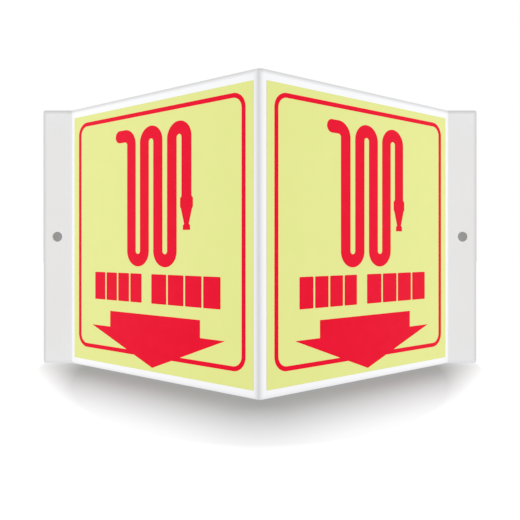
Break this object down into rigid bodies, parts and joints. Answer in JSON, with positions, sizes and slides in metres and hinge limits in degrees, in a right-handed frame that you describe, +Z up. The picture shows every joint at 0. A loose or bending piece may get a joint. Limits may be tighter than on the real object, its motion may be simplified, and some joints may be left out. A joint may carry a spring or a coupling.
{
  "type": "projecting wall sign",
  "caption": "V-shaped projecting wall sign folded from one white plastic sheet, with pale glow film, red border, folded-hose symbol and down arrow on each slanted face.",
  "frame": {"origin": "on the wall plane, midway between the two fixing holes, at the sheet's mid-height", "axes": "+X along the wall to the viewer's right, +Y into the wall, +Z up; the nose points along -Y"},
  "size_m": [0.524, 0.1593, 0.305],
  "materials": {
    "white_sheet": "satin white plastic sheet",
    "glow_film": "satin pale yellow-green luminous film",
    "red_print": "satin red ink"
  },
  "bodies": {
    "root": {"sign_sheet": "white_sheet", "left_glow_film": "glow_film", "right_glow_film": "glow_film", "left_border_line": "red_print", "right_border_line": "red_print", "left_hose_symbol": "red_print", "right_hose_symbol": "red_print", "left_caption_blocks": "red_print", "right_caption_blocks": "red_print", "left_down_arrow": "red_print", "right_down_arrow": "red_print"}
  },
  "joints": []
}
